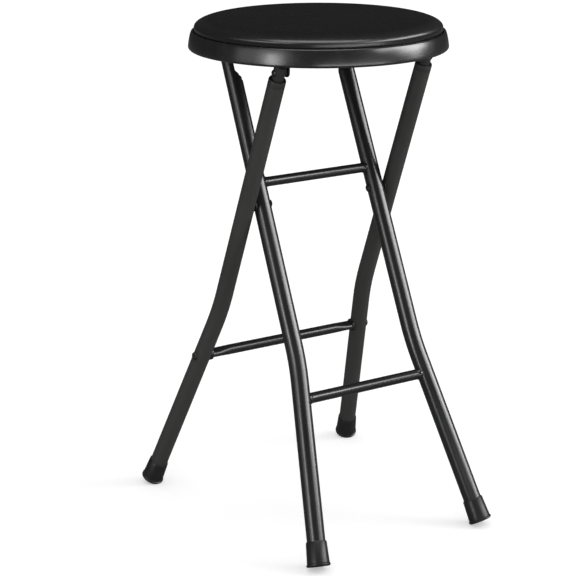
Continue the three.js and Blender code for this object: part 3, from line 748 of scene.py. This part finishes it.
def pan_profile():
    """Round the hem, up the outside, over the lip, in along the plate and back down the inside."""
    top_radius = PAN_RADIUS - PAN_FLARE
    hem = (PAN_RADIUS - PAN_HEM, PAN_BOTTOM + PAN_HEM)
    lip = (top_radius - PAN_LIP_ROUND, PAN_TOP - PAN_LIP_ROUND)
    inner = top_radius - PAN_LIP
    lip_inside = (inner + PAN_LIP_INNER_ROUND, PAN_TOP - PAN_LIP_INNER_ROUND)
    hem_edge = (hem[0], PAN_BOTTOM + PAN_WALL / 2)
    outside = arc(hem, PAN_HEM, -90, PAN_HEM_LEAN, steps=9)
    shoulder = arc(lip, PAN_LIP_ROUND, PAN_LIP_LEAN, 90, steps=8)
    inside = (top_radius - PAN_WALL, PAN_PLATE_UNDER)
    return [
        *outside,
        *curve_between(outside[-1], shoulder[0], PAN_HEM_LEAN, PAN_LIP_LEAN, steps=8),
        *shoulder,
        *arc(lip_inside, PAN_LIP_INNER_ROUND, 90, 180, steps=4),
        (inner, PAN_PLATE_TOP),
        (inner - PAN_WALL, PAN_PLATE_TOP),
        (0, PAN_PLATE_TOP),
        (0, PAN_PLATE_UNDER),
        (inside[0] - PAN_WALL, PAN_PLATE_UNDER),
        inside,
        (inside[0] + PAN_FLARE / 2, (PAN_PLATE_UNDER + hem[1]) / 2),
        *arc(hem, PAN_HEM - PAN_WALL, 0, -90, steps=6),
        *arc(hem_edge, PAN_WALL / 2, 90, 270, steps=5)[1:-1],
    ]


def mount_room():
    """The space, with a margin, that the brackets and the catches take up under the plate."""
    mesh = bmesh.new()
    margin = Vector((MOUNT_MARGIN, MOUNT_MARGIN, 0))
    for name in MOUNTS:
        low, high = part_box(name)
        add_box(
            mesh,
            (*(low - margin).xy, PAN_PLATE_UNDER - MOUNT_DEPTH),
            (*(high + margin).xy, PAN_PLATE_UNDER + PAN_PLATE),
        )
    return new_piece("room", mesh)


def pan_ribs():
    """Ribs from the hub to the rim with eased lower edges, kept clear of the brackets and the catches."""
    mesh = bmesh.new()
    outer = PAN_RADIUS - PAN_FLARE - PAN_WALL / 2
    for i in range(RIB_COUNT):
        made = add_box(
            mesh,
            (SEAT_X + RIB_INNER - RIB_WIDTH / 2, SEAT_Y - RIB_WIDTH / 2, PAN_PLATE_UNDER - RIB_HEIGHT),
            (SEAT_X + outer, SEAT_Y + RIB_WIDTH / 2, PAN_PLATE_UNDER + PAN_PLATE / 2),
            Quaternion((0, 0, 1), math.pi * (2 * i + 1) / RIB_COUNT).to_matrix(),
        )
        below = {v for v in made if v.co.z < PAN_PLATE_UNDER - RIB_HEIGHT / 2}
        low = [e for e in mesh.edges if all(v in below for v in e.verts)]
        bmesh.ops.bevel(mesh, geom=low, offset=RIB_EDGE, segments=2, affect="EDGES")
    ribs = new_piece("ribs", mesh)
    cut_away(ribs, mount_room())
    return ribs


def pan_hub():
    low = PAN_PLATE_UNDER - RIB_HEIGHT
    high = PAN_PLATE_UNDER + PAN_PLATE / 2
    inner = RIB_INNER - RIB_WIDTH
    profile = [
        (inner + RIB_EDGE, low),
        (RIB_INNER - RIB_EDGE, low),
        (RIB_INNER, low + RIB_EDGE),
        (RIB_INNER, high),
        (inner, high),
        (inner, low + RIB_EDGE),
    ]
    return turned("hub", profile, PAN_SIDES // 2, looped=True)


def screw_bores():
    """Round tools through the plate, one at each screw."""
    mesh = bmesh.new()
    for name in frame["nodes"]:
        if "_screw_" not in name:
            continue
        low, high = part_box(name)
        middle = (low + high) / 2
        made = bmesh.ops.create_cone(
            mesh, cap_ends=True, segments=SCREW_SIDES,
            radius1=SCREW_BORE, radius2=SCREW_BORE, depth=4 * PAN_PLATE,
        )["verts"]
        bmesh.ops.translate(mesh, verts=made, vec=(middle.x, middle.y, PAN_PLATE_TOP - PAN_PLATE / 2))
    return new_piece("bores", mesh)


def add_pan():
    shell = turned("shell", pan_profile(), PAN_SIDES, looped=True)
    cut_away(shell, screw_bores())
    pan = joined("seat_pan_moulding", [shell, pan_ribs(), pan_hub()])
    finish_piece(pan, "pan_plastic")
    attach(pan, "seat")
    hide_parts("seat_pan")


# Pad: a vinyl cover over foam, swollen by cloth simulation and held at its seam

PAD_SIDES = 144
PAD_SIDE_TOP = 4.6 * MM
PAD_SHOULDER = 34 * MM
PAD_SHOULDER_STEPS = 16
PAD_LEVEL_STEPS = 9
PAD_SHRINK = 0.3 * MM
PAD_SWELL = 1.5 * MM
PAD_TUCK = 2.4 * MM
PAD_TUCK_HEIGHT = 2.2 * MM
SEAM_LOW_SHARES = (0.2, 0.25)
SEAM_HIGH_SHARES = (0.1, 0.6)
PAD_HEM = 26 * MM
PAD_SKIN = 1 * MM
PAD_PRESSURE = 0.12
PAD_STIFFNESS = 60
PAD_BENDING = 8
PAD_QUALITY = 8
PAD_FRAMES = 20


def pad_profile():
    """From the middle of the underside, round the tucked seam and over the shoulder to the crown."""
    side = PAD_RADIUS - PAD_SHRINK
    tucked = PAD_RADIUS - PAD_TUCK
    side_top = PAN_TOP + PAD_SIDE_TOP
    rise = PAD_TOP - side_top
    wide = PAD_SHOULDER - PAD_SHRINK
    seam = PAN_TOP - PAD_TUCK_HEIGHT / 2
    quarter = arc((0, 0), wide, 0, 90, PAD_SHOULDER_STEPS)
    level = [(side - wide) * (1 - i / PAD_LEVEL_STEPS) for i in range(1, PAD_LEVEL_STEPS)]
    return [
        (0, PAD_BOTTOM),
        (tucked - PAD_HEM, PAD_BOTTOM),
        (tucked - PAD_HEM / 2, PAD_BOTTOM),
        (tucked - PAD_SKIN, PAD_BOTTOM),
        (tucked, PAD_BOTTOM + PAD_SKIN),
        (tucked, seam - PAD_TUCK),
        (tucked, seam),
        (tucked + PAD_TUCK * SEAM_LOW_SHARES[0], seam + PAD_TUCK_HEIGHT * SEAM_LOW_SHARES[1]),
        (side - PAD_TUCK * SEAM_HIGH_SHARES[0], seam + PAD_TUCK_HEIGHT * SEAM_HIGH_SHARES[1]),
        (side, seam + PAD_TUCK_HEIGHT),
        *((side - wide + across, side_top + up * rise / wide) for across, up in quarter),
        *((radius, PAD_TOP) for radius in level),
        (0, PAD_TOP),
    ]


def add_cloth(piece, held):
    cloth = piece.modifiers.new("cloth", "CLOTH")
    cloth.collision_settings.use_collision = False
    settings = cloth.settings
    settings.quality = PAD_QUALITY
    settings.use_pressure = True
    settings.uniform_pressure_force = PAD_PRESSURE
    settings.tension_stiffness = PAD_STIFFNESS
    settings.compression_stiffness = PAD_STIFFNESS
    settings.bending_stiffness = PAD_BENDING
    settings.effector_weights.gravity = 0
    settings.vertex_group_mass = held.name


def swell(piece):
    """Blows the cover up by cloth simulation; what lies below the seam is held still."""
    starts = [vert.co.copy() for vert in piece.data.vertices]
    held = piece.vertex_groups.new(name="held")
    for vert in piece.data.vertices:
        free = (vert.co.z - PAN_TOP) / PAD_SIDE_TOP
        held.add([vert.index], 1 - min(max(free, 0), 1), "REPLACE")
    add_cloth(piece, held)
    scene = bpy.context.scene
    for step in range(1, PAD_FRAMES + 1):
        scene.frame_set(step)
    graph = bpy.context.evaluated_depsgraph_get()
    ends = [vert.co.copy() for vert in piece.evaluated_get(graph).data.vertices]
    piece.modifiers.clear()
    scene.frame_set(1)
    for vert, start, end in zip(piece.data.vertices, starts, ends):
        move = end - start
        if move.length > 0:
            vert.co = start + move.normalized() * PAD_SWELL * math.tanh(move.length / PAD_SWELL)
    piece.vertex_groups.clear()


def open_underside(piece):
    """Takes out the middle of the underside, which leaves only the hem under the board."""
    mesh = bmesh.new()
    mesh.from_mesh(piece.data)
    middle = Vector((SEAT_X, SEAT_Y, PAD_BOTTOM))
    lost = [v for v in mesh.verts if v.co.z < PAD_BOTTOM + PAD_SKIN / 2 and (v.co - middle).length < PAD_HEM]
    bmesh.ops.delete(mesh, geom=lost, context="VERTS")
    mesh.to_mesh(piece.data)
    mesh.free()


def add_pad():
    """The cover, which stands for the foam too. It is returned because some lamps are for it alone."""
    pad = turned("seat_pad", pad_profile(), PAD_SIDES)
    swell(pad)
    open_underside(pad)
    thick = pad.modifiers.new("thick", "SOLIDIFY")
    thick.thickness = PAD_SKIN
    thick.offset = -1
    smooth = pad.modifiers.new("round", "SUBSURF")
    smooth.levels = 1
    smooth.render_levels = 1
    bake(pad)
    finish_piece(pad, "vinyl")
    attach(pad, "seat")
    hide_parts("seat_cover", "seat_foam")
    return pad


add_camera()
add_world()
add_floor()
dress_nodes()
add_pan()
add_lamps(add_pad())
